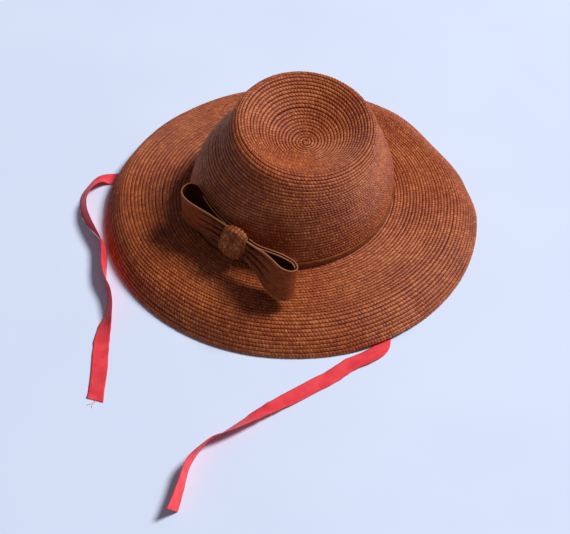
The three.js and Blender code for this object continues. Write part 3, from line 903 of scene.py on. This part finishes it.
class STRAWHAT_OT_stage(bpy.types.Operator):
    """Camera, pale floor, one large soft light and an even fill"""
    bl_idname = "strawhat.stage"
    bl_label = "Stage"

    def execute(self, context):
        settings = context.scene.straw_hat_stage
        camera = bpy.data.cameras.new("camera")
        camera.lens = settings.lens
        camera.sensor_width = 36
        view = bpy.data.objects.new("camera", camera)
        view.location = CAMERA_PLACE
        view.rotation_euler = np.radians(CAMERA_TURN)
        context.scene.collection.objects.link(view)
        context.scene.camera = view

        reach = FLOOR_REACH
        mesh = bpy.data.meshes.new("floor")
        corners = [(-reach, -reach, 0), (reach, -reach, 0), (reach, reach, 0), (-reach, reach, 0)]
        mesh.from_pydata(corners, [], [(0, 1, 2, 3)])
        mesh.materials.append(floor_paper())
        floor = bpy.data.objects.new("floor", mesh)
        context.scene.collection.objects.link(floor)

        lamp = bpy.data.lights.new("key", "AREA")
        lamp.shape = "DISK"
        lamp.size = KEY_SIZE
        lamp.energy = settings.key_power
        lamp.color = linear("FBFAFF")[:3]
        key = bpy.data.objects.new("key", lamp)
        key.location = KEY_PLACE
        aim = Vector(KEY_AIM) - key.location
        key.rotation_mode = "QUATERNION"
        key.rotation_quaternion = aim.to_track_quat("-Z", "Y")
        context.scene.collection.objects.link(key)

        world = bpy.data.worlds.new("even light")
        world.use_nodes = True
        background = world.node_tree.nodes["Background"]
        background.inputs["Color"].default_value = settings.fill_colour
        background.inputs["Strength"].default_value = settings.fill
        context.scene.world = world
        context.scene.view_settings.view_transform = "Standard"
        return {"FINISHED"}


class STRAWHAT_OT_ribbons(bpy.types.Operator):
    """Both satin ties, laid loose on the floor"""
    bl_idname = "strawhat.ribbons"
    bl_label = "Ribbons"

    def execute(self, context):
        finish = satin()
        ribbon("ribbon_left_satin", LEFT_RIBBON, finish, "ribbon_left", 4.0)
        ribbon("ribbon_right_satin", RIGHT_RIBBON, finish, "ribbon_right", 7.0)
        loose_threads("ribbon_left_thread", finish, "ribbon_left")
        return {"FINISHED"}


# Rows at which the crown's and the brim's pieces start, and how far the last goes on
TIP_START = -0.7
TIP_ROWS = 34
BRIM_START = 0.3
BRIM_SPLITS = (13, 23)
LAST_TURN = 0.4


class STRAWHAT_OT_crown(bpy.types.Operator):
    """The crown's plait, in two pieces: the tip and the wall"""
    bl_idname = "strawhat.crown"
    bl_label = "Crown"

    def execute(self, context):
        settings = context.scene.straw_hat_braid
        finish = sewn_straw()
        scale = row_scale(crown_surface, 1, settings.row_pitch * 1000)
        rows = scale[0]
        sew("crown_tip", crown_surface, 1, scale, TIP_START, TIP_ROWS, settings, finish,
            "crown", 1)
        sew("crown_wall", crown_surface, 1, scale, TIP_ROWS, rows + LAST_TURN, settings,
            finish, "crown", 2)
        return {"FINISHED"}


class STRAWHAT_OT_brim(bpy.types.Operator):
    """The brim's plait, in three pieces from the inside out"""
    bl_idname = "strawhat.brim"
    bl_label = "Brim"

    def execute(self, context):
        settings = context.scene.straw_hat_braid
        finish = bpy.data.materials["sewn dyed straw braid"]
        most = 1 + EDGE_SHARE
        scale = row_scale(brim_surface, most, settings.row_pitch * 1000)
        rows = scale[0]
        inner, outer = BRIM_SPLITS
        parts = (("brim_inside", BRIM_START, inner), ("brim_middle", inner, outer),
                 ("brim_outside", outer, rows + LAST_TURN))
        for seed, (name, first, last) in enumerate(parts, 3):
            sew(name, brim_surface, most, scale, first, last, settings, finish, "brim", seed)
        return {"FINISHED"}


BAND_PLACES = 240
# Share of the way down the crown for each millimetre of height near its foot
DOWN_SHARE = 0.0066


class STRAWHAT_OT_band(bpy.types.Operator):
    """The narrow smooth strip round the crown's foot"""
    bl_idname = "strawhat.band"
    bl_label = "Band"

    def execute(self, context):
        finish = woven_strip("smooth straw band", ("5C2A14", "844624", "A9683C", "C08A66"),
                             0.34, 2 * BAND_HEIGHT)
        angle = np.linspace(0, 2 * np.pi, BAND_PLACES + 1)[:-1]
        # Share of the band's height, and distance from the crown's wall
        profile = ((0.0, 0), (0.0, 1.0), (0.25, BAND_WALL), (0.75, BAND_WALL), (1.0, 1.0),
                   (1.0, 0))
        height, off = np.array(profile).T
        down = 1 - (GAP + height * BAND_HEIGHT) * DOWN_SHARE
        points = crown_surface(angle[:, None], down)
        normal = outward(crown_surface, angle[:, None], down + 0 * angle[:, None], 1)
        points = points + normal * (GAP + off)[:, None]
        points[..., 2] = SEAT + GAP + height * BAND_HEIGHT
        u = np.append(angle, 2 * np.pi) * HALF_WIDTH
        v = np.array((0, 1, 2.5, 5.5, 7, 8, 9.0))
        add_tube("crown_band_strip", points, u, v, finish, ["crown_band"],
                 closed=True)
        return {"FINISHED"}


# Knot: places along and round it, its ribs and their height, and the power of sine and
# cosine that makes its section squarer than an oval
KNOT_PLACES = 61
KNOT_SIDES = 72
KNOT_RIBS = 6
KNOT_RIB = 0.45
KNOT_SQUARE = 0.75
# Powers that make the knot's puff fuller forwards, and fuller again upwards
PUFF_POWER = 0.6
RISE_POWER = 0.4


class STRAWHAT_OT_bow(bpy.types.Operator):
    """The bow's two loops and the knot round its waist"""
    bl_idname = "strawhat.bow"
    bl_label = "Bow"

    def execute(self, context):
        # pleats and inside set how dark the painted shade is in the pleats' valleys and on the
        # loops' inner faces
        finish = woven_strip("woven straw strip", ("5E2209", "8E3E18", "B86B32", "A56A44"),
                             0.5, STRIP_WIDTH, pleats=0.95, inside=0.75)
        for name, rows in (("bow_loop_left", LEFT_LOOP), ("bow_loop_right", RIGHT_LOOP)):
            strip_loop(name + "_strip", rows, finish, name)
        strip_loop("bow_loop_left_layer", LEFT_LOOP, finish, "bow_loop_left", 0.7, 0.97, 2.3)
        strip_loop("bow_loop_right_layer", RIGHT_LOOP, finish, "bow_loop_right", 0.03, 0.46,
                   2.2)
        wrap = woven_strip("straw knot wrap", ("4E1A08", "8A3C1A", "DE955A", "8A3C1A"), 0.4,
                           4 * KNOT_WRAP, speckle=0.3)
        along = np.linspace(0, 1, KNOT_PLACES)[:, None]
        angle = np.linspace(0, 2 * np.pi, KNOT_SIDES + 1)[:-1]
        puff = np.sin(np.pi * (KNOT_END + (1 - 2 * KNOT_END) * along)) ** PUFF_POWER
        rib = KNOT_RIB * np.cos(2 * np.pi * KNOT_RIBS * along)
        up = np.sign(np.cos(angle)) * np.abs(np.cos(angle)) ** KNOT_SQUARE
        out = np.sign(np.sin(angle)) * np.abs(np.sin(angle)) ** KNOT_SQUARE
        rise = up * puff**RISE_POWER
        rings = np.stack([
            KNOT_LEFT + (KNOT_RIGHT - KNOT_LEFT) * along - KNOT_LEAN * (1 - rise) / 2,
            KNOT_MIDDLE - out * (KNOT_DEPTH / 2 * puff + rib) - KNOT_FOOT * (1 - rise) / 2,
            BOW_TOP - STRIP_WIDTH / 2 + rise * (STRIP_WIDTH / 2 + KNOT_PROUD) + up * rib,
        ], -1)
        v = np.linspace(0, KNOT_WRAP, KNOT_SIDES + 1)
        add_tube("bow_knot_wrap", rings, along[:, 0] * (KNOT_RIGHT - KNOT_LEFT), v, wrap,
                 ["bow_knot"])
        return {"FINISHED"}


class STRAWHAT_PT_panel(bpy.types.Panel):
    """Lists the steps that build the hat"""
    bl_idname = "STRAWHAT_PT_panel"
    bl_label = "Straw Hat"
    bl_space_type = "VIEW_3D"
    bl_region_type = "UI"
    bl_category = "Straw Hat"

    def draw(self, context):
        for operator in OPERATORS:
            self.layout.operator(operator.bl_idname)
        for group in (context.scene.straw_hat_braid, context.scene.straw_hat_stage):
            for name in group.__annotations__:
                self.layout.prop(group, name)


OPERATORS = (
    STRAWHAT_OT_stage,
    STRAWHAT_OT_ribbons,
    STRAWHAT_OT_crown,
    STRAWHAT_OT_brim,
    STRAWHAT_OT_band,
    STRAWHAT_OT_bow,
)
CLASSES = (BraidSettings, StageSettings, *OPERATORS, STRAWHAT_PT_panel)


def register():
    for made in CLASSES:
        bpy.utils.register_class(made)
    bpy.types.Scene.straw_hat_braid = PointerProperty(type=BraidSettings)
    bpy.types.Scene.straw_hat_stage = PointerProperty(type=StageSettings)


def unregister():
    del bpy.types.Scene.straw_hat_braid
    del bpy.types.Scene.straw_hat_stage
    for made in reversed(CLASSES):
        bpy.utils.unregister_class(made)


def main():
    register()
    bpy.ops.strawhat.stage()
    bpy.ops.strawhat.ribbons()
    bpy.ops.strawhat.crown()
    bpy.ops.strawhat.brim()
    bpy.ops.strawhat.band()
    bpy.ops.strawhat.bow()


if __name__ == "__main__":
    main()
